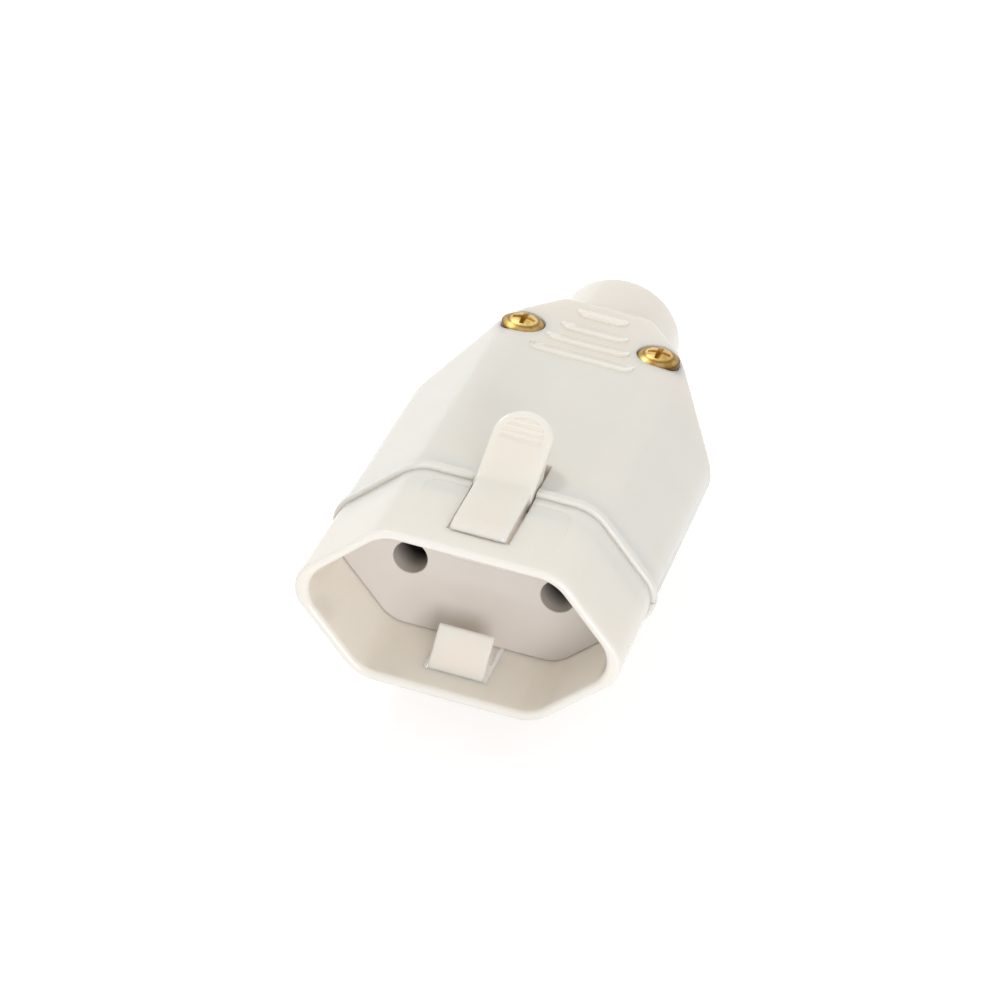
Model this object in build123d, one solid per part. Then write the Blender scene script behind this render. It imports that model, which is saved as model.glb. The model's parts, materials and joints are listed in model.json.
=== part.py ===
from build123d import *
import math
import os

# In-line two-pole socket with a rocking latch lever above and below.
# It is drawn level, mouth towards -Y, and then laid down as it rests on a table.

# Six-sided section of the housing, corners unrounded
side_half = 22.3
half_height = 10.66
flat_half = 11.34
ridge_radius = 4.0
shoulder_radius = 6.0
least_radius = 0.6

# Front collar
collar_wall = 1.25
collar_length = 16.95
collar_draft = 0.2
recess_floor_inset = 4.15
recess_ridge_radius = 4.0
rim_outer_round = 0.5
rim_inner_round = 0.7
panel_half = 9.8
panel_rear_half = 9.1
panel_front = 2.4
panel_margin = 1.45
panel_drop = 0.35
panel_corner = 1.5
panel_flare = 50.0
slot_half = 4.0
slot_front = 4.3

# Spigot of the collar inside the shells, with the lugs for the lever pins
spigot_wall = 1.3
spigot_reach = 3.6
spigot_lip = 0.65
spigot_lip_width = 1.2
lug_width = 1.8
lug_depth = 3.0
lug_rear = 2.2

# Rear shells
shell_wall = 1.5
seam_gap = 0.15
body_rear = 70.4
rear_draft = 0.35
kink_y = 49.9
kink_half = 20.6
boss_corner_half = 12.6
boss_corner_y = 61.9
nose_half = 6.1
boss_round = 5.0
nose_round = 2.0
edge_round = 1.1
bead_proud = 0.35
bead_width = 1.5
bead_round = 0.32
parting_half = 0.07
parting_depth = 0.15

# Cord neck
neck_root_radius = 10.0
neck_waist_radius = 9.1
neck_waist_y = 74.5
neck_end_radius = 8.4
neck_end = 82.9
neck_round = 1.0
cord_radius = 4.6
inlet_round = 1.5
cord_room_radius = 5.2
cord_room_end = 73.0
cord_ridge_height = 0.9
cord_ridge_width = 1.4
cord_ridge_places = (61.5, 65.0, 68.5)

# Inside of the shells
cavity_rear = 54.5
divider_half = 0.8
divider_front = 36.0
rib_thickness = 1.2

# Grip ribs on the upper shell, front edge and half length of each
grip_ribs = ((53.6, 7.1), (57.3, 5.7), (61.0, 4.6), (65.4, 3.5))
grip_height = 0.55
grip_crest_round = 0.35
grip_width = 2.4
grip_corner = 1.6

# Pins of the plug and the holes for them
pin_pitch = 19.0
pin_hole_radius = 2.2
pin_length = 19.0
hole_chamfer = 0.1

# Contact carrier
plate_thickness = 1.8
barrel_radius = 4.2
web_half = 2.2
flange_reach = 11.2
flange_thickness = 2.0
flange_half_height = 4.1

# Contacts
sleeve_bore = 2.0
sleeve_radius = 2.65
sleeve_slit = 0.5
sleeve_slit_length = 8.5
sleeve_inset = 7.5
terminal_radius = 3.9
terminal_length = 10.0
terminal_flat = 3.3
wire_hole_radius = 1.5
wire_hole_depth = 7.5
clip_radius = 3.1
clip_length = 5.0
clip_inset = 2.0
clip_gap = 1.4

# Terminal screws
terminal_screw_radius = 1.25
terminal_head_radius = 2.2
terminal_head_height = 1.8
terminal_slot = 0.6
terminal_slot_depth = 0.8

# Housing screws and nuts
screw_half = 9.22
screw_y = 60.3
screw_radius = 1.5
screw_head_radius = 2.87
screw_head_edge = 1.3
screw_head_dome = 0.9
counterbore_radius = 2.97
counterbore_depth = 1.5
cross_width = 0.75
cross_half = 1.55
cross_depth = 1.1
cross_taper = 12.0
nut_flats = 5.5
nut_thickness = 2.4
nut_pocket_depth = 2.9

# Latch levers
lever_half = 3.55
pad_half = 3.78
lever_pin_radius = 0.8
lever_hub_radius = 1.9
lever_hub_back = -0.15
lever_hub_depth = 2.7
tongue_front = 4.1
tongue_proud = 1.05
tongue_round = 0.6
nose_run = 1.6
nose_drop = 0.4
nose_blend = 4.0
crease_round = 2.0
crease_back = -0.65
crease_lead = 0.65
pad_angle = 29.0
pad_length = 11.05
pad_thickness = 1.6
pad_root = 0.5
lever_edge_round = 0.5
pad_field_half = 2.65
pad_field_length = 5.0
pad_field_depth = 0.15
pad_ridges = 5
pad_ridge_pitch = 0.93
pad_ridge_radius = 0.35
pad_ridge_inset = 1.95
gusset_rear = 4.9
gusset_rise = 1.2
tooth_height = 4.55
tooth_front_run = 3.0
tooth_top = 0.4
tooth_rear_run = 0.5
tooth_round = 0.3
tooth_edge_round = 0.25

# Lever springs in pockets of the shells
spring_reach = 4.1
spring_radius = 1.7
spring_wire = 0.22
spring_turns = 5
spring_seat_depth = 1.75
stud_radius = 1.1
stud_height = 1.0
pocket_half = 3.95
pocket_reach = 8.4
pocket_depth = 5.0
pocket_wall = 1.1

# Clearances
close_fit = 0.05
fit = 0.12
slide = 0.3
running = 0.04

# Places that follow from the sizes above
half_pitch = pin_pitch / 2
recess_depth = collar_length - recess_floor_inset
panel_rear = collar_length - panel_margin
flange_front = recess_depth + flange_reach
lever_hub_y = collar_length + lever_hub_back
crease_y = collar_length + crease_back
spring_y = lever_hub_y + spring_reach
pocket_rear = lever_hub_y + pocket_reach
shell_front = collar_length + seam_gap
ledge_y = recess_depth + plate_thickness
spigot_outer = shell_wall + fit
spigot_inner = spigot_outer + spigot_wall
spigot_end = collar_length + spigot_reach
lip_end = spigot_end - fit
lip_front = lip_end - spigot_lip_width
recess_ridge = recess_ridge_radius + collar_wall
recess_top = half_height - collar_wall
lug_top = half_height - spigot_outer
lug_bottom = lug_top - lug_depth
pin_half = slot_half + lug_width
hub_z = half_height - lever_hub_depth
tongue_top = half_height + tongue_proud
sleeve_front = recess_depth + sleeve_inset
barrel_end = recess_depth + pin_length + fit
contact_bore = clip_radius + fit
flange_end = flange_front + flange_thickness
terminal_end = barrel_end + terminal_length
terminal_screw_y = terminal_end - wire_hole_depth / 2
pocket_floor = half_height - pocket_depth
pocket_outer = pocket_half + pocket_wall
pocket_end = pocket_rear + pocket_wall
rear_top = half_height - rear_draft
screw_seat = rear_top - counterbore_depth
nut_seat = nut_pocket_depth - rear_top
slope = math.radians(pad_angle)
spring_seat = tongue_top + (spring_y - crease_y) * math.tan(slope) - pad_thickness - spring_seat_depth
room = 2 * side_half


def section_plane(y):
    """Plane across the socket at y, its normal to the rear and its own Y up."""
    return Plane(origin=(0, y, 0), x_dir=(-1, 0, 0), z_dir=(0, 1, 0))


def block(x0, x1, y0, y1, z0, z1):
    """Box between two corners."""
    middle = Pos((x0 + x1) / 2, (y0 + y1) / 2, (z0 + z1) / 2)
    return middle * Box(x1 - x0, y1 - y0, z1 - z0)


def slab(y0, y1):
    """Everything between two planes across the socket."""
    return block(-room, room, y0, y1, -room, room)


def rod(x, z, y0, y1, radius):
    """Round bar along the socket."""
    return extrude(section_plane(y0) * Pos(-x, z) * Circle(radius), amount=y1 - y0)


def post(x, y, z0, z1, radius):
    """Upright round bar."""
    return extrude(Pos(x, y, z0) * Circle(radius), amount=z1 - z0)


def across(profile, half):
    """Length of a side profile across the socket, the same to the left and to the right."""
    middle = Plane(origin=(0, 0, 0), x_dir=(0, 1, 0), z_dir=(1, 0, 0))
    return extrude(middle * profile, amount=half, both=True)


def cross_bar(y, z, half, radius):
    """Round bar across the socket."""
    return across(Pos(y, z) * Circle(radius), half)


def both_faces(upper):
    """A form together with its mirror image on the other face of the socket."""
    return upper + mirror(upper, about=Plane.XY)


def hex_section(inset, ridge=ridge_radius):
    """Rounded six-sided outline, a given distance inside the outer skin."""
    run = side_half - flat_half
    side = side_half - inset * math.hypot(run, half_height) / half_height
    height = half_height - inset
    flat = side - height * run / half_height
    right = [(flat, -height), (side, 0), (flat, height)]
    outline = Polygon(*right, *[(-x, -z) for x, z in right], align=None)
    ridges = outline.vertices().filter_by(lambda v: abs(v.Y) < height / 2)
    outline = fillet(ridges, max(ridge - inset, least_radius))
    shoulders = outline.vertices().filter_by(lambda v: abs(v.Y) > height * 0.99)
    return fillet(shoulders, max(shoulder_radius - inset, least_radius))


def hex_bar(inset, y0, y1, ridge=ridge_radius):
    """Straight length of the six-sided section."""
    return extrude(section_plane(y0) * hex_section(inset, ridge), amount=y1 - y0)


def drawn_bar(inset, draft, y0, y1):
    """Length of the six-sided section, drawn in slightly at the rear."""
    front = section_plane(y0) * hex_section(inset)
    rear = section_plane(y1) * hex_section(inset + draft)
    return loft([front, rear], ruled=True)


def shell_bar(inset):
    """The six-sided length of the shells, a given distance inside their skin."""
    return drawn_bar(inset, rear_draft, shell_front, body_rear)


def plan_form(inset, y_rear):
    """Tapering nose of the shells seen from above, a given distance inside the outline."""
    wide = side_half + ridge_radius
    taper = (kink_half - boss_corner_half) / (boss_corner_y - kink_y)
    half = [
        (wide, 0),
        (wide, kink_y - (wide - kink_half) / taper),
        (boss_corner_half, boss_corner_y),
        (nose_half, body_rear),
    ]
    outline = Polygon(*half, *[(-x, y) for x, y in reversed(half)], align=None)
    bosses = outline.vertices().filter_by(lambda v: abs(v.Y - boss_corner_y) < nose_round)
    outline = fillet(bosses, boss_round)
    outline = fillet(outline.vertices().group_by(Axis.Y)[-1], nose_round)
    if inset:
        outline = offset(outline, amount=-inset, kind=Kind.INTERSECTION)
    nose = extrude(Pos(0, 0, -room) * outline, amount=2 * room)
    return nose & slab(0, y_rear)


def lever_slot(half, y0, y1, z0):
    """Cut for a lever through the upper face and the lower face."""
    return both_faces(block(-half, half, y0, y1, z0, room))


def panel_hollow():
    """Shallow panel in the collar, deepest at its rear edge and fading to the front."""
    ramp = Polygon(
        (panel_front, half_height),
        (panel_rear, half_height - panel_drop),
        (collar_length, half_height - panel_drop),
        (collar_length, room),
        (panel_front, room),
        align=None,
    )
    half = [(panel_half, panel_front), (panel_rear_half, panel_rear)]
    plan = Polygon(*half, *[(-x, y) for x, y in reversed(half)], align=None)
    plan = fillet(plan.vertices().group_by(Axis.Y)[-1], panel_corner)
    basin = extrude(Pos(0, 0, half_height - panel_drop) * plan, amount=2 * panel_drop, taper=-panel_flare)
    return across(ramp, side_half) & basin


def front_collar():
    """Six-sided sleeve round the plug recess, with a spigot that the shells close round."""
    sleeve = drawn_bar(0, collar_draft, 0, collar_length) - hex_bar(collar_wall, -1, ledge_y, recess_ridge)
    rim = sleeve.faces().sort_by(Axis.Y)[0]
    sleeve = fillet(rim.outer_wire().edges(), rim_outer_round)
    rim = sleeve.faces().sort_by(Axis.Y)[0]
    sleeve = fillet(rim.inner_wires()[0].edges(), rim_inner_round)
    sleeve += hex_bar(spigot_outer, collar_length, spigot_end)
    sleeve += hex_bar(spigot_outer - spigot_lip, lip_front, lip_end)
    sleeve -= hex_bar(spigot_inner, ledge_y - 1, spigot_end + 1)
    lug_end = lever_hub_y + lug_rear
    for x0, x1 in ((-pin_half, -slot_half), (slot_half, pin_half)):
        sleeve += both_faces(block(x0, x1, ledge_y, lug_end, lug_bottom, lug_top))
    sleeve -= lever_slot(slot_half, slot_front, spigot_end + 1, lug_bottom)
    sleeve -= both_faces(cross_bar(lever_hub_y, hub_z, pin_half + 1, lever_pin_radius))
    return sleeve - both_faces(panel_hollow())


def contact_carrier():
    """Insert with the recess floor in front and two barrels for the contacts behind it."""
    body = hex_bar(collar_wall + close_fit, recess_depth, ledge_y, recess_ridge)
    body += block(-half_pitch, half_pitch, recess_depth, barrel_end, -web_half, web_half)
    flange = hex_bar(spigot_inner + fit, flange_front, flange_end)
    body += flange & block(-room, room, 0, barrel_end, -flange_half_height, flange_half_height)
    for x in (-half_pitch, half_pitch):
        body += rod(x, 0, recess_depth, barrel_end, barrel_radius)
    for x in (-half_pitch, half_pitch):
        body -= rod(x, 0, recess_depth - 1, barrel_end, pin_hole_radius)
        body -= rod(x, 0, sleeve_front, barrel_end + 1, contact_bore)
    circles = body.edges().filter_by(GeomType.CIRCLE)
    mouths = circles.filter_by(lambda e: abs(e.center().Y - recess_depth) < running)
    return chamfer(mouths.filter_by(lambda e: e.radius < barrel_radius), hole_chamfer)


def cord_neck(inset):
    """Round neck at the rear, flared where it leaves the body, a given distance inside its skin."""
    root = body_rear - neck_root_radius
    side = Spline(
        (neck_root_radius - inset, root),
        (neck_waist_radius - inset, neck_waist_y),
        (neck_end_radius - inset, neck_end),
    )
    inside = Polyline(side @ 1, (0, neck_end), (0, root), side @ 0)
    neck = revolve(make_face([side, inside]), Axis.Y)
    return fillet(neck.faces().sort_by(Axis.Y)[-1].edges(), neck_round)


def parting_line():
    """Fine groove round the outside where the two shells meet."""
    core = shell_bar(parting_depth) & plan_form(parting_depth, body_rear)
    core += cord_neck(parting_depth)
    return block(-room, room, shell_front, neck_end - neck_round, -parting_half, parting_half) - core


def rear_form():
    """Outer form of both shells together, with the neck, before they are hollowed and parted."""
    form = shell_bar(0) & plan_form(0, body_rear)
    upright = form.faces().filter_by(lambda f: abs(f.normal_at(f.center()).Z) < running)
    walls = upright.filter_by(lambda f: f.normal_at(f.center()).Y > running)
    outline = walls.edges() - form.edges().filter_by(Axis.Z)
    longest_first = sorted(outline, key=lambda e: (-round(e.length, 3), tuple(e.center())))
    form = fillet(longest_first, edge_round)
    bead = hex_bar(-bead_proud, shell_front, shell_front + bead_width)
    form += fillet(bead.faces().filter_by(Axis.Y).edges(), bead_round)
    return form + cord_neck(0)


def carrier_outline():
    """Section of the barrels and web of the carrier, with a gap all round."""
    outline = Rectangle(pin_pitch, 2 * (web_half + fit))
    for x in (-half_pitch, half_pitch):
        outline += Pos(x, 0) * Circle(barrel_radius + fit)
    return outline


def inner_ribs(cavity):
    """Cross ribs that hold the carrier flange and the terminals, and the wall between the poles."""
    ribs = cavity & block(-divider_half, divider_half, divider_front, cavity_rear, -room, room)
    for y in (flange_front - fit - rib_thickness, flange_end + fit):
        rib = cavity & slab(y, y + rib_thickness)
        ribs += rib - extrude(section_plane(y) * carrier_outline(), amount=rib_thickness)
    cradle = (barrel_end + slide, terminal_radius + fit)
    stop = (terminal_end + fit, wire_hole_radius + slide)
    for y, radius in (cradle, stop):
        rib = cavity & slab(y, y + rib_thickness)
        for x in (-half_pitch, half_pitch):
            rib -= rod(x, 0, y - 1, y + rib_thickness + 1, radius)
        ribs += rib
    return ribs


def cord_way():
    """Way of the cord from the neck to the terminals, narrowed by the ridges that grip it."""
    way = rod(0, 0, cavity_rear - 1, cord_room_end, cord_room_radius)
    for y in cord_ridge_places:
        way -= slab(y, y + cord_ridge_width)
    return way + rod(0, 0, cavity_rear - 1, neck_end + 1, cord_room_radius - cord_ridge_height)


def housing():
    """Both shells in one, hollowed, with everything that is the same above and below."""
    cavity = shell_bar(shell_wall) & plan_form(shell_wall, cavity_rear)
    body = rear_form() - cavity + inner_ribs(cavity)
    cheek_top = half_height - shell_wall / 2
    cheek = block(-pocket_outer, pocket_outer, spigot_end + fit, pocket_end, pocket_floor, cheek_top)
    floor_front = lever_hub_y + lever_hub_radius
    floor_bottom = pocket_floor - pocket_wall
    floor = block(-pocket_outer, pocket_outer, floor_front, pocket_end, floor_bottom, pocket_floor)
    body += both_faces(cheek + floor)
    body -= lever_slot(pocket_half, 0, pocket_rear, pocket_floor)
    body += both_faces(post(0, spring_y, pocket_floor, pocket_floor + stud_height, stud_radius))
    groove = hex_bar(spigot_outer - spigot_lip - fit, lip_front - fit, lip_end + fit)
    body -= groove - hex_bar(spigot_outer + fit, 0, body_rear)
    body -= cord_way()
    body -= parting_line()
    body -= rod(0, 0, cord_room_end, neck_end + 1, cord_radius)
    mouth = body.edges().filter_by(GeomType.CIRCLE).sort_by(Axis.Y)
    return fillet(mouth.filter_by(lambda e: abs(e.radius - cord_radius) < running)[-1], inlet_round)


def grip_rib(y, half):
    """Raised rib with a sharp front edge, falling away to the rear."""
    crest = half_height - rear_draft * (y - shell_front) / (body_rear - shell_front) + grip_height
    low = rear_top - shell_wall / 2
    wedge = Polygon((y, low), (y, crest), (y + grip_width, rear_top), (y + grip_width, low), align=None)
    wedge = fillet(wedge.vertices().sort_by(Axis.Y)[-1], grip_crest_round)
    bar = across(wedge, half)
    plan = Pos(0, y + grip_width / 2) * Rectangle(2 * half, grip_width)
    plan = fillet(plan.vertices().group_by(Axis.Y)[0], grip_corner)
    return bar & extrude(plan, amount=room)


def upper_shell(whole):
    """Upper half, with the grip ribs and the seats of the screw heads."""
    shell = split(whole, bisect_by=Plane.XY, keep=Keep.TOP)
    for y, half in grip_ribs:
        shell += grip_rib(y, half)
    for x in (-screw_half, screw_half):
        shell -= post(x, screw_y, -1, room, screw_radius + fit)
        shell -= post(x, screw_y, screw_seat, room, counterbore_radius)
    return shell


def nut_form(x, gap, z0, z1):
    """Six-sided bar of a nut."""
    outline = RegularPolygon(radius=nut_flats / 2 + gap, side_count=6, major_radius=False, rotation=30)
    return extrude(Pos(x, screw_y, z0) * outline, amount=z1 - z0)


def lower_shell(whole):
    """Lower half, with the pockets of the nuts."""
    shell = split(whole, bisect_by=Plane.XY, keep=Keep.BOTTOM)
    for x in (-screw_half, screw_half):
        shell -= post(x, screw_y, -room, 1, screw_radius + fit)
        shell -= nut_form(x, fit, -room, nut_seat)
    return shell


def contact(x):
    """Split brass sleeve and terminal block, turned in one."""
    body = rod(x, 0, sleeve_front, barrel_end, sleeve_radius)
    body += rod(x, 0, barrel_end, terminal_end, terminal_radius)
    body -= rod(x, 0, sleeve_front - 1, barrel_end, sleeve_bore)
    body -= rod(x, 0, terminal_end - wire_hole_depth, terminal_end + 1, wire_hole_radius)
    x0 = x - terminal_radius - 1
    x1 = x + terminal_radius + 1
    slit_end = sleeve_front + sleeve_slit_length
    body -= block(x0, x1, 0, slit_end, -sleeve_slit / 2, sleeve_slit / 2)
    body -= block(x0, x1, barrel_end - 1, terminal_end + 1, terminal_flat, room)
    return body - post(x, terminal_screw_y, 0, room, terminal_screw_radius + running)


def contact_clip(x):
    """Steel spring collar, open along its top, round the split sleeve."""
    y0 = sleeve_front + clip_inset
    y1 = y0 + clip_length
    ring = rod(x, 0, y0, y1, clip_radius) - rod(x, 0, y0 - 1, y1 + 1, sleeve_radius + running)
    return ring - block(x - clip_gap / 2, x + clip_gap / 2, y0 - 1, y1 + 1, 0, room)


def terminal_screw(x):
    """Slotted screw that presses the wire in the terminal block."""
    head_top = terminal_flat + terminal_head_height
    screw = post(x, terminal_screw_y, 0, terminal_flat, terminal_screw_radius)
    screw += post(x, terminal_screw_y, terminal_flat, head_top, terminal_head_radius)
    y0 = terminal_screw_y - terminal_slot / 2
    y1 = terminal_screw_y + terminal_slot / 2
    return screw - block(x - room, x + room, y0, y1, head_top - terminal_slot_depth, room)


def housing_screw(x):
    """Domed screw with a tapered cross recess, down to the nut below."""
    head_top = screw_seat + screw_head_edge + screw_head_dome
    ball_radius = (screw_head_radius**2 + screw_head_dome**2) / (2 * screw_head_dome)
    head = post(x, screw_y, screw_seat, head_top, screw_head_radius)
    head &= Pos(x, screw_y, head_top - ball_radius) * Sphere(ball_radius)
    cross = Rectangle(2 * cross_half, cross_width) + Rectangle(cross_width, 2 * cross_half)
    head -= extrude(Pos(x, screw_y, head_top) * cross, amount=-cross_depth, taper=cross_taper)
    return head + post(x, screw_y, nut_seat - nut_thickness, screw_seat, screw_radius)


def housing_nut(x):
    """Nut that the screw pulls against, in its pocket below."""
    nut = nut_form(x, 0, nut_seat - nut_thickness, nut_seat)
    return nut - post(x, screw_y, -room, room, screw_radius + running)


def pad_plane():
    """Plane on top of the thumb pad, its own Y up the slope from the crease."""
    up_slope = (0, math.cos(slope), math.sin(slope))
    normal = (0, -math.sin(slope), math.cos(slope))
    cross = Vector(*up_slope).cross(Vector(*normal))
    return Plane(origin=(0, crease_y, tongue_top), x_dir=cross, z_dir=normal)


def pad_outline(half, start, end):
    """Outline on the pad plane between two distances from the crease, round at its upper end."""
    straight = end - half - start
    outline = Pos(0, start + straight / 2) * Rectangle(2 * half, straight)
    return outline + Pos(0, end - half) * Circle(half)


def thumb_pad():
    """Rising pad with a round end, fine ridges in a shallow field and a seat for the spring below it."""
    pad = extrude(pad_plane() * pad_outline(pad_half, -pad_root, pad_length), amount=-pad_thickness)
    top = pad.faces().sort_by(lambda f: (f.center() - pad_plane().origin).dot(pad_plane().z_dir))[-1]
    root = top.edges().sort_by(Axis.Y)[0]
    pad = fillet(top.edges().filter_by(lambda e: e.center().Y > root.center().Y + running), lever_edge_round)
    field_end = pad_length - pad_half + pad_field_half
    outline = pad_outline(pad_field_half, field_end - pad_field_length, field_end)
    field = extrude(pad_plane() * outline, amount=-pad_field_depth)
    pad -= field
    for i in range(pad_ridges):
        place = pad_plane() * Pos(0, pad_length - pad_ridge_inset - i * pad_ridge_pitch, -pad_ridge_radius)
        pad += field & place * Rot(0, 90, 0) * Cylinder(pad_ridge_radius, 2 * pad_half)
    pad += post(0, spring_y, spring_seat, spring_seat + spring_seat_depth, spring_radius + spring_wire)
    return pad + post(0, spring_y, spring_seat - stud_height, spring_seat, stud_radius)


def flank_edges(form, half):
    """Edges of a lever form that bound its two flanks."""
    return form.edges().filter_by(lambda e: abs(abs(e.center().X) - half) < running)


def lever_front():
    """Tongue with its latch tooth, and the hub on the pin."""
    foot = slot_front + fit
    lip_under = half_height + fit
    tooth_tip = recess_top - tooth_height
    tip_front = foot + tooth_front_run
    tip_rear = tip_front + tooth_top
    hub_front = lever_hub_y - lever_hub_radius
    hub_rear = lever_hub_y + lever_hub_radius
    profile = Polygon(
        (foot, recess_top),
        (foot, lip_under),
        (tongue_front, lip_under),
        (tongue_front, tongue_top - nose_drop),
        (tongue_front + nose_run, tongue_top),
        (hub_rear, tongue_top),
        (hub_rear, hub_z),
        (hub_front, hub_z),
        (hub_front, recess_top),
        (tip_rear + tooth_rear_run, recess_top),
        (tip_rear, tooth_tip),
        (tip_front, tooth_tip),
        align=None,
    )
    nose = profile.vertices().filter_by(lambda v: v.X < tongue_front + running).sort_by(Axis.Y)[-1]
    profile = fillet(nose, tongue_round)
    brow = profile.vertices().group_by(Axis.Y)[-1].sort_by(Axis.X)[0]
    profile = fillet(brow, nose_blend)
    tip = profile.vertices().group_by(Axis.Y)[0].sort_by(Axis.X)[0]
    profile = fillet(tip, tooth_round)
    profile += Pos(lever_hub_y, hub_z) * Circle(lever_hub_radius)
    front = across(profile, lever_half)
    crest = flank_edges(front, lever_half).filter_by(lambda e: e.center().Z > tongue_top - nose_drop / 2)
    front = fillet(crest, lever_edge_round)
    tooth = flank_edges(front, lever_half).filter_by(
        lambda e: e.center().Z < recess_top and e.center().Y < tip_front
    )
    return fillet(tooth, tooth_edge_round)


def lever_gusset():
    """Wider root of the thumb pad, hollow over the spring, with a soft crease in front."""
    gusset_y = lever_hub_y + gusset_rear
    profile = Polygon(
        (crease_y - crease_lead, hub_z),
        (crease_y - crease_lead, tongue_top),
        (crease_y, tongue_top),
        (gusset_y, tongue_top + (gusset_y - crease_y) * math.tan(slope)),
        (gusset_y, hub_z + gusset_rise),
        (lever_hub_y + lever_hub_radius, hub_z),
        align=None,
    )
    crease = profile.vertices().sort_by(lambda v: math.hypot(v.X - crease_y, v.Y - tongue_top))[0]
    profile = fillet(crease, crease_round)
    gusset = across(profile, pad_half)
    crest = flank_edges(gusset, pad_half).filter_by(lambda e: e.center().Z > tongue_top - running)
    gusset = fillet(crest, lever_edge_round)
    return gusset - post(0, spring_y, pocket_floor, spring_seat, spring_radius + spring_wire + slide)


def upper_lever():
    """Rocking lever with a latch tooth in front of its pin and a thumb pad behind it."""
    lever = lever_front() + lever_gusset() + thumb_pad()
    return lever - cross_bar(lever_hub_y, hub_z, room, lever_pin_radius + running)


def lever_spring():
    """Compression coil between the pocket floor and the seat under the pad."""
    height = spring_seat - pocket_floor - 2 * spring_wire
    path = Helix(pitch=height / spring_turns, height=height, radius=spring_radius)
    wire = Plane(origin=path @ 0, z_dir=path % 0) * Circle(spring_wire)
    coil = sweep(wire, path=path, is_frenet=True)
    return Pos(0, spring_y, pocket_floor + spring_wire) * coil


def rest_pitch():
    """Angle at which it lies, on the tip of the lower pad and on the rear edge or the neck."""
    reach = pad_length - lever_edge_round
    tip_y = crease_y + reach * math.cos(slope) + lever_edge_round * math.sin(slope)
    tip_depth = tongue_top + reach * math.sin(slope) - lever_edge_round * math.cos(slope)
    shell_edge = (body_rear - edge_round, rear_top - edge_round, edge_round)
    neck_edge = (neck_end - neck_round, neck_end_radius - neck_round, neck_round)
    angles = []
    for y, depth, radius in (shell_edge, neck_edge):
        run = y - tip_y
        rise = tip_depth - depth
        lean = math.asin((lever_edge_round - radius) / math.hypot(run, rise))
        angles.append(math.degrees(math.atan2(rise, run) + lean))
    return min(angles)


def level_parts():
    """Every piece by name, in the level position."""
    whole = housing()
    lever = upper_lever()
    pin = cross_bar(lever_hub_y, hub_z, pin_half, lever_pin_radius)
    spring = lever_spring()
    parts = {
        "front_collar": front_collar(),
        "contact_carrier": contact_carrier(),
        "upper_shell": upper_shell(whole),
        "lower_shell": lower_shell(whole),
    }
    for side, turn in (("upper", lambda form: form), ("lower", lambda form: mirror(form, about=Plane.XY))):
        parts[side + "_lever"] = turn(lever)
        parts[side + "_lever_pin"] = turn(pin)
        parts[side + "_lever_spring"] = turn(spring)
    for side, sign in (("left", -1), ("right", 1)):
        parts[side + "_contact"] = contact(sign * half_pitch)
        parts[side + "_contact_clip"] = contact_clip(sign * half_pitch)
        parts[side + "_terminal_screw"] = terminal_screw(sign * half_pitch)
        parts[side + "_housing_screw"] = housing_screw(sign * screw_half)
        parts[side + "_housing_nut"] = housing_nut(sign * screw_half)
    return parts


# Laid down as it rests, with the origin under the middle of its box
level = level_parts()
pitch = Rot(-rest_pitch(), 0, 0)
box = Compound(children=[pitch * form for form in level.values()]).bounding_box()
place = Pos(-box.center().X, -box.center().Y, -box.min.Z) * pitch

os.makedirs("parts", exist_ok=True)
for name, form in level.items():
    export_step(place * form, "parts/" + name + ".step")
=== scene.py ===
import json
import math

import bpy
from mathutils import Matrix, Vector


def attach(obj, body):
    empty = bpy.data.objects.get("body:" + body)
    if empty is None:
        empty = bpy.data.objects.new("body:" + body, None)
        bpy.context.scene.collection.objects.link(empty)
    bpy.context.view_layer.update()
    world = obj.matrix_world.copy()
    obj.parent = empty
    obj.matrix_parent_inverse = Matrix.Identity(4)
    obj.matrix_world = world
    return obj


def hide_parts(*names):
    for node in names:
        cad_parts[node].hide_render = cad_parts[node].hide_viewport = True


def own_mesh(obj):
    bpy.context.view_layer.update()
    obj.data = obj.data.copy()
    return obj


# Looks of the in-line socket: glossy ivory mouldings, brass screws and plated steel.
# Everything is in metres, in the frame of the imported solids.

# Sizes along the level socket, from the middle of its rim
hub_y = 0.0168
recess_depth = 0.0128
half_pitch = 0.0095
pin_hole_radius = 0.0022
screw_half = 0.00922
screw_y = 0.0603
screw_head_height = 0.0103
screw_head_radius = 0.00287

# Coil springs under the thumb pads
spring_y = 0.0209
spring_floor = 0.00566
spring_top = 0.01091
spring_radius = 0.0017
spring_wire = 0.00022
spring_turns = 5.0
spring_closed_turns = 0.8
spring_steps = 16

# Depths between which painted shade darkens the pin holes
hole_light_depth = 0.0014
hole_dark_depth = 0.0055

# Camera of the photograph, as seen from the level socket
camera_place = (0.086248, -0.452251, 0.286947)
camera_azimuth = 10.459
camera_elevation = 30.24
camera_roll = 9.571
camera_lens = 162.0
camera_sensor = 36.0

# Stage
floor_half = 3.0
floor_paint = 0.86
floor_glow = 0.4
world_light = 0.64
lamp_target = Vector((0.0, 0.0, 0.015))

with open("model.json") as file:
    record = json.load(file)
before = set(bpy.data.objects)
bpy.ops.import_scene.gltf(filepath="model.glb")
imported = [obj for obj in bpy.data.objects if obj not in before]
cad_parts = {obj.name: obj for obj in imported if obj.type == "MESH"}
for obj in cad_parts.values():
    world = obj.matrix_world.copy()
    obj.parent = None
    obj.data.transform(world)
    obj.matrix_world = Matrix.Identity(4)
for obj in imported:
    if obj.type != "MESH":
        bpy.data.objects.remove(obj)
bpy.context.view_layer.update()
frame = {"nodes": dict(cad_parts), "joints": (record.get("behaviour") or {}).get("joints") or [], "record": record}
nodes = frame["nodes"]

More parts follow.
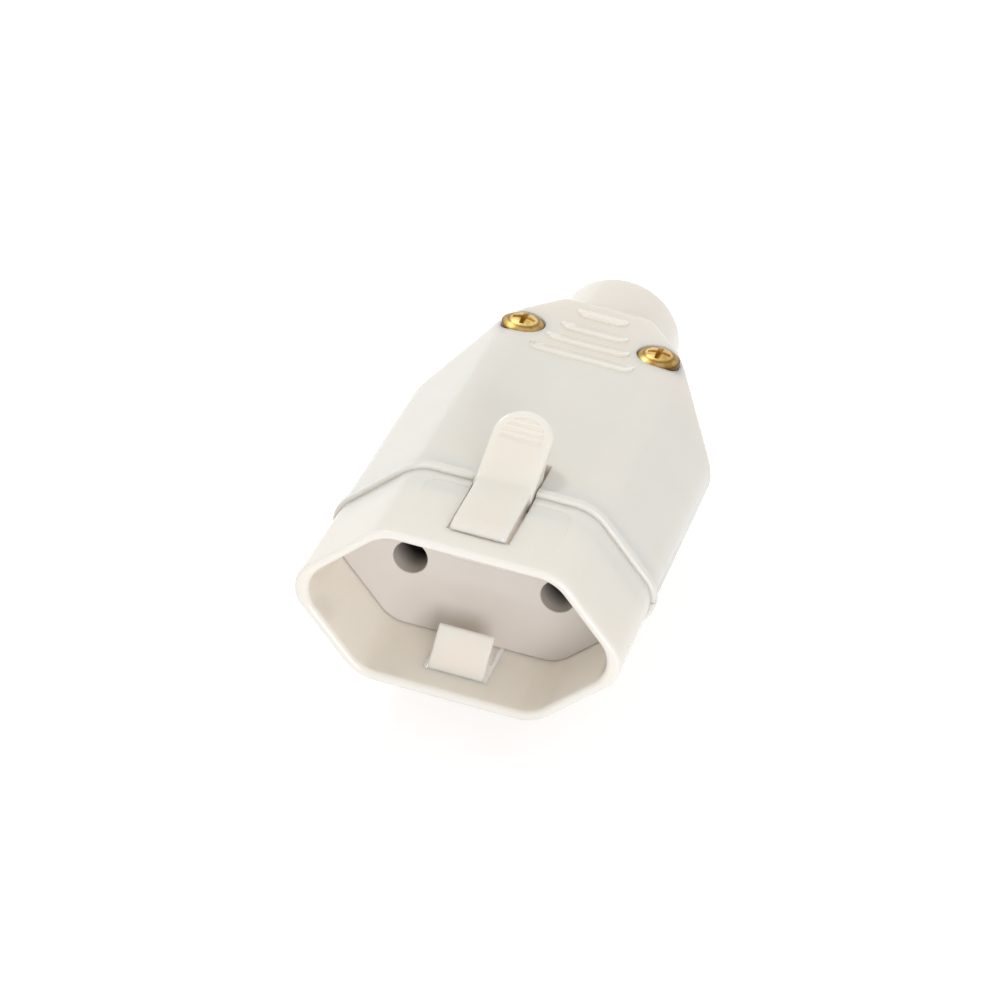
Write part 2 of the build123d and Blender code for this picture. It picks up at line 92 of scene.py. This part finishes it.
# Axes of the socket as it lies: to the rear along the cord and up out of its upper face
mounts = {mount["name"]: mount for mount in frame["record"]["mounts"]}
hinges = {joint["name"]: Vector(joint["pos_m"]) for joint in frame["joints"]}
rear = Vector(mounts["cord_inlet"]["axis"]).normalized()
across = Vector((1.0, 0.0, 0.0))
upward = across.cross(rear)
hub_middle = (hinges["upper_lever_hinge"] + hinges["lower_lever_hinge"]) / 2


def laid(x, y, z):
    """A point of the level socket, where it is once the socket lies down."""
    return hub_middle + across * x + rear * (y - hub_y) + upward * z


# Materials


def linear(red, green, blue):
    """A screen colour as the shader takes it."""
    parts = []
    for value in (red, green, blue):
        share = value / 255
        parts.append(share / 12.92 if share <= 0.04045 else ((share + 0.055) / 1.055) ** 2.4)
    return (*parts, 1.0)


class Paint:
    """A material under construction, with short ways to add and join its nodes."""

    def __init__(self, name):
        self.material = bpy.data.materials.new(name)
        self.material.use_nodes = True
        self.tree = self.material.node_tree
        self.inputs = self.tree.nodes["Principled BSDF"].inputs
        self.place = self.add("ShaderNodeTexCoord").outputs["Object"]

    def add(self, kind, **settings):
        """New node with the given settings."""
        node = self.tree.nodes.new(kind)
        for key, value in settings.items():
            setattr(node, key, value)
        return node

    def join(self, source, target):
        """Link from an output to an input."""
        self.tree.links.new(source, target)

    def offset(self, point):
        """Way from a point to the place on the surface."""
        node = self.add("ShaderNodeVectorMath", operation="SUBTRACT")
        node.inputs[1].default_value = point
        self.join(self.place, node.inputs[0])
        return node.outputs["Vector"]

    def along(self, offset, direction):
        """Part of a way that goes in a direction."""
        node = self.add("ShaderNodeVectorMath", operation="DOT_PRODUCT")
        node.inputs[1].default_value = direction
        self.join(offset, node.inputs[0])
        return node.outputs["Value"]

    def reckon(self, operation, first, second=None):
        """Result of a sum on one or two values."""
        node = self.add("ShaderNodeMath", operation=operation)
        self.join(first, node.inputs[0])
        if isinstance(second, float):
            node.inputs[1].default_value = second
        elif second:
            self.join(second, node.inputs[1])
        return node.outputs[0]

    def noise(self, scale, detail, roughness=0.5):
        """Cloudy value all through the piece."""
        node = self.add("ShaderNodeTexNoise")
        node.inputs["Scale"].default_value = scale
        node.inputs["Detail"].default_value = detail
        node.inputs["Roughness"].default_value = roughness
        self.join(self.place, node.inputs["Vector"])
        return node.outputs["Fac"]

    def spread(self, value, source, target):
        """Value carried from one range over to another."""
        node = self.add("ShaderNodeMapRange")
        for key, number in zip(("From Min", "From Max", "To Min", "To Max"), (*source, *target)):
            node.inputs[key].default_value = number
        self.join(value, node.inputs["Value"])
        return node.outputs["Result"]

    def mix(self, share, first, second):
        """Colour between two others, each a plain colour or an output."""
        node = self.add("ShaderNodeMix", data_type="RGBA")
        self.join(share, node.inputs["Factor"])
        for socket, value in ((node.inputs[6], first), (node.inputs[7], second)):
            if isinstance(value, tuple):
                socket.default_value = value
            else:
                self.join(value, socket)
        return node.outputs[2]

    def bump(self, height, strength, distance):
        """Surface direction over a height."""
        node = self.add("ShaderNodeBump")
        node.inputs["Strength"].default_value = strength
        node.inputs["Distance"].default_value = distance
        self.join(height, node.inputs["Height"])
        return node.outputs["Normal"]


def pin_hole_shade(paint):
    """Share of painted shade, which grows from 0 at the mouths of the two pin holes to 1 deep inside them."""
    offset = paint.offset(laid(0, recess_depth, 0))
    side = paint.reckon("ABSOLUTE", paint.along(offset, across))
    beside = paint.reckon("SUBTRACT", side, half_pitch)
    above = paint.along(offset, upward)
    beside_square = paint.reckon("MULTIPLY", beside, beside)
    above_square = paint.reckon("MULTIPLY", above, above)
    radius = paint.reckon("SQRT", paint.reckon("ADD", beside_square, above_square))
    edge = (1.01 * pin_hole_radius, 1.05 * pin_hole_radius)
    inside = paint.spread(radius, edge, (1.0, 0.0))
    deep = paint.spread(paint.along(offset, rear), (hole_light_depth, hole_dark_depth), (0.0, 1.0))
    return paint.reckon("MULTIPLY", inside, deep)


def moulded_plastic(name, colour, cloud, milky, hole_shade_colour=None):
    """Glossy, slightly milky plastic: faintly clouded pigment under an uneven, slightly wavy skin, with painted
    shade deep in the pin holes when a colour for it is given.
    """
    paint = Paint(name)
    clouds = paint.spread(paint.noise(scale=70, detail=3.0), (0.3, 0.7), (0.0, 1.0))
    tint = paint.mix(clouds, colour, cloud)
    # Painted shade: the pin holes darken with depth towards a dark brown.
    if hole_shade_colour:
        tint = paint.mix(pin_hole_shade(paint), tint, hole_shade_colour)
    gloss = paint.spread(paint.noise(scale=160, detail=2.0), (0.3, 0.7), (0.09, 0.17))
    waves = paint.bump(paint.noise(scale=55, detail=1.0), strength=0.12, distance=0.0006)
    paint.join(tint, paint.inputs["Base Color"])
    paint.join(gloss, paint.inputs["Roughness"])
    paint.join(waves, paint.inputs["Normal"])
    paint.inputs["IOR"].default_value = 1.5
    paint.inputs["Subsurface Weight"].default_value = milky
    paint.inputs["Subsurface Radius"].default_value = (1.0, 0.86, 0.8)
    paint.inputs["Subsurface Scale"].default_value = 0.0025
    return paint.material


def turned_brass(name, centre, radius):
    """Turned brass with random stains and a worn, uneven skin, darkened by painted shade and reflection in rings:
    in the middle, round the shoulder and at the rim.
    """
    paint = Paint(name)
    length = paint.add("ShaderNodeVectorMath", operation="LENGTH")
    paint.join(paint.offset(centre), length.inputs[0])
    share = paint.spread(length.outputs["Value"], (0.0, radius), (0.0, 1.0))
    # Painted shade and reflection: over the distance from the centre, darker in the middle, a dark ring round the
    # shoulder and a dark rim.
    shade_rings = paint.add("ShaderNodeValToRGB")
    stops = ((0.0, 0.5), (0.3, 0.2), (0.6, 0.0), (0.7, 0.85), (0.8, 0.5), (0.9, 0.55), (1.0, 1.0))
    while len(shade_rings.color_ramp.elements) < len(stops):
        shade_rings.color_ramp.elements.new(0.5)
    for element, (place, shade) in zip(shade_rings.color_ramp.elements, stops):
        element.position = place
        element.color = (shade, shade, shade, 1.0)
    paint.join(share, shade_rings.inputs["Fac"])
    stain = paint.spread(paint.noise(scale=700, detail=4.0, roughness=0.6), (0.42, 0.68), (0.0, 0.9))
    bright = paint.mix(stain, linear(236, 206, 132), linear(176, 130, 62))
    # Dark brown of the painted shade and reflection rings.
    tint = paint.mix(shade_rings.outputs["Color"], bright, linear(104, 74, 30))
    gloss = paint.spread(paint.noise(scale=1500, detail=3.0), (0.3, 0.7), (0.3, 0.46))
    wear = paint.bump(paint.noise(scale=900, detail=2.0), strength=0.25, distance=0.00012)
    paint.join(tint, paint.inputs["Base Color"])
    paint.join(gloss, paint.inputs["Roughness"])
    paint.join(wear, paint.inputs["Normal"])
    paint.inputs["Metallic"].default_value = 1.0
    return paint.material


def plated_steel(name):
    """Zinc plated steel with a slightly blotched, satin surface."""
    paint = Paint(name)
    blotch = paint.spread(paint.noise(scale=1200, detail=3.0), (0.35, 0.65), (0.0, 1.0))
    tint = paint.mix(blotch, linear(196, 198, 200), linear(160, 161, 163))
    gloss = paint.spread(paint.noise(scale=2600, detail=2.0), (0.3, 0.7), (0.25, 0.4))
    paint.join(tint, paint.inputs["Base Color"])
    paint.join(gloss, paint.inputs["Roughness"])
    paint.inputs["Metallic"].default_value = 1.0
    return paint.material


ivory = moulded_plastic("ivory_moulding", linear(242, 236, 225), linear(240, 233, 222), milky=0.8)
# The insert gets painted shade deep in its two pin holes.
insert = moulded_plastic(
    "ivory_insert", linear(223, 217, 209), linear(219, 212, 205), milky=0.0, hole_shade_colour=linear(66, 58, 52)
)
steel = plated_steel("plated_steel")
# Over a radius of a metre the contacts take only the middle of the painted shade rings, which darkens them evenly
# by about half.
contact_brass = turned_brass("contact_brass", laid(0, 0, 0), 1.0)


def dress(name, material):
    """Gives a CAD node its material."""
    mesh = nodes[name].data
    mesh.materials.clear()
    mesh.materials.append(material)


for name in ("front_collar", "upper_shell", "lower_shell", "upper_lever", "lower_lever"):
    dress(name, ivory)
dress("contact_carrier", insert)
for side, sign in (("left", -1), ("right", 1)):
    head_centre = laid(sign * screw_half, screw_y, screw_head_height)
    dress(side + "_housing_screw", turned_brass(side + "_screw_brass", head_centre, screw_head_radius))
    dress(side + "_contact", contact_brass)
    for piece in ("contact_clip", "terminal_screw", "housing_nut"):
        dress(side + "_" + piece, steel)
for side in ("upper", "lower"):
    dress(side + "_lever_pin", steel)


# Springs


def coil_height(turn):
    """Height of the middle of the wire after some turns: closed ends, with an even rise between them."""
    low = spring_floor + spring_wire
    high = spring_top - spring_wire
    closed_pitch = 2 * spring_wire
    closed_rise = closed_pitch * spring_closed_turns
    if turn <= spring_closed_turns:
        return low + closed_pitch * turn
    if turn >= spring_turns - spring_closed_turns:
        return high - closed_pitch * (spring_turns - turn)
    rise = (turn - spring_closed_turns) / (spring_turns - 2 * spring_closed_turns)
    return low + closed_rise + (high - low - 2 * closed_rise) * rise


def coil_spring(side, sign):
    """Closed-end coil under a thumb pad."""
    curve = bpy.data.curves.new(side + "_coil_path", "CURVE")
    curve.dimensions = "3D"
    curve.bevel_depth = spring_wire
    curve.bevel_resolution = 4
    curve.resolution_u = 6
    count = int(spring_turns * spring_steps) + 1
    spline = curve.splines.new("NURBS")
    spline.points.add(count - 1)
    for i in range(count):
        turn = i / spring_steps
        x = spring_radius * math.cos(2 * math.pi * turn)
        y = spring_y + spring_radius * math.sin(2 * math.pi * turn)
        spline.points[i].co = (*laid(x, y, sign * coil_height(turn)), 1.0)
    spline.order_u = 3
    spline.use_endpoint_u = True
    path = bpy.data.objects.new(side + "_coil_path", curve)
    bpy.context.scene.collection.objects.link(path)
    bpy.context.view_layer.update()
    mesh = bpy.data.meshes.new_from_object(path.evaluated_get(bpy.context.evaluated_depsgraph_get()))
    bpy.data.objects.remove(path)
    coil = bpy.data.objects.new(side + "_coil", mesh)
    bpy.context.scene.collection.objects.link(coil)
    mesh.materials.clear()
    mesh.materials.append(steel)
    mesh.shade_smooth()
    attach(coil, "housing")
    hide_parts(side + "_lever_spring")
    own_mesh(coil)


coil_spring("upper", 1)
coil_spring("lower", -1)

# Stage: pale floor, white surroundings, soft lamps and the camera of the photograph


def seen_directly(tree):
    """Share that is 1 for what the camera sees, also in a reflection or through glass."""
    path = tree.nodes.new("ShaderNodeLightPath")
    total = path.outputs["Is Camera Ray"]
    for key in ("Is Glossy Ray", "Is Transmission Ray"):
        most = tree.nodes.new("ShaderNodeMath")
        most.operation = "MAXIMUM"
        tree.links.new(total, most.inputs[0])
        tree.links.new(path.outputs[key], most.inputs[1])
        total = most.outputs[0]
    return total


def pale_floor():
    """Large plain floor that looks white and still takes the shadow of the socket."""
    mesh = bpy.data.meshes.new("floor")
    corners = [(x * floor_half, y * floor_half, 0) for x, y in ((-1, -1), (1, -1), (1, 1), (-1, 1))]
    mesh.from_pydata(corners, [], [(0, 1, 2, 3)])
    floor = bpy.data.objects.new("floor", mesh)
    bpy.context.scene.collection.objects.link(floor)
    material = bpy.data.materials.new("floor_paper")
    material.use_nodes = True
    tree = material.node_tree
    tree.nodes.clear()
    paper = tree.nodes.new("ShaderNodeBsdfDiffuse")
    paper.inputs["Color"].default_value = (floor_paint, floor_paint, floor_paint, 1.0)
    glow = tree.nodes.new("ShaderNodeEmission")
    level = tree.nodes.new("ShaderNodeMath")
    level.operation = "MULTIPLY"
    level.inputs[1].default_value = floor_glow
    tree.links.new(seen_directly(tree), level.inputs[0])
    tree.links.new(level.outputs[0], glow.inputs["Strength"])
    both = tree.nodes.new("ShaderNodeAddShader")
    tree.links.new(paper.outputs[0], both.inputs[0])
    tree.links.new(glow.outputs[0], both.inputs[1])
    result = tree.nodes.new("ShaderNodeOutputMaterial")
    tree.links.new(both.outputs[0], result.inputs["Surface"])
    mesh.materials.append(material)


def white_world():
    """Even white surroundings, plain white wherever they show."""
    world = bpy.data.worlds.new("studio")
    bpy.context.scene.world = world
    world.use_nodes = True
    tree = world.node_tree
    background = tree.nodes["Background"]
    background.inputs["Color"].default_value = (1.0, 1.0, 1.0, 1.0)
    level = tree.nodes.new("ShaderNodeMapRange")
    level.inputs["To Min"].default_value = world_light
    level.inputs["To Max"].default_value = 1.0
    tree.links.new(seen_directly(tree), level.inputs["Value"])
    tree.links.new(level.outputs["Result"], background.inputs["Strength"])


def softbox(name, place, size, power, colour):
    """Square lamp that faces the socket."""
    lamp = bpy.data.lights.new(name, "AREA")
    lamp.shape = "SQUARE"
    lamp.size = size
    lamp.energy = power
    lamp.color = colour
    holder = bpy.data.objects.new(name, lamp)
    holder.location = place
    toward = lamp_target - Vector(place)
    holder.rotation_euler = toward.to_track_quat("-Z", "Y").to_euler()
    bpy.context.scene.collection.objects.link(holder)


def photo_camera():
    """Camera at the place, angle and lens of the photograph."""
    lens = bpy.data.cameras.new("photo_camera")
    lens.lens = camera_lens
    lens.sensor_width = camera_sensor
    lens.clip_start = 0.01
    lens.clip_end = 20.0
    camera = bpy.data.objects.new("photo_camera", lens)
    turn = Matrix.Rotation(math.radians(camera_azimuth), 4, "Z")
    tip = Matrix.Rotation(math.radians(90 - camera_elevation), 4, "X")
    roll = Matrix.Rotation(math.radians(camera_roll), 4, "Z")
    level = Matrix((across, rear, upward)).transposed().to_4x4()
    level.translation = laid(0, 0, 0)
    camera.matrix_world = level @ Matrix.Translation(camera_place) @ turn @ tip @ roll
    bpy.context.scene.collection.objects.link(camera)
    bpy.context.scene.camera = camera


pale_floor()
white_world()
softbox("key_lamp", place=(-0.5, 0.45, 0.75), size=0.12, power=2.3, colour=(1.0, 0.99, 0.96))
softbox("front_lamp", place=(0.4, -0.86, 0.34), size=0.45, power=3.95, colour=(0.98, 0.96, 1.0))
photo_camera()
bpy.context.scene.view_settings.view_transform = "Standard"
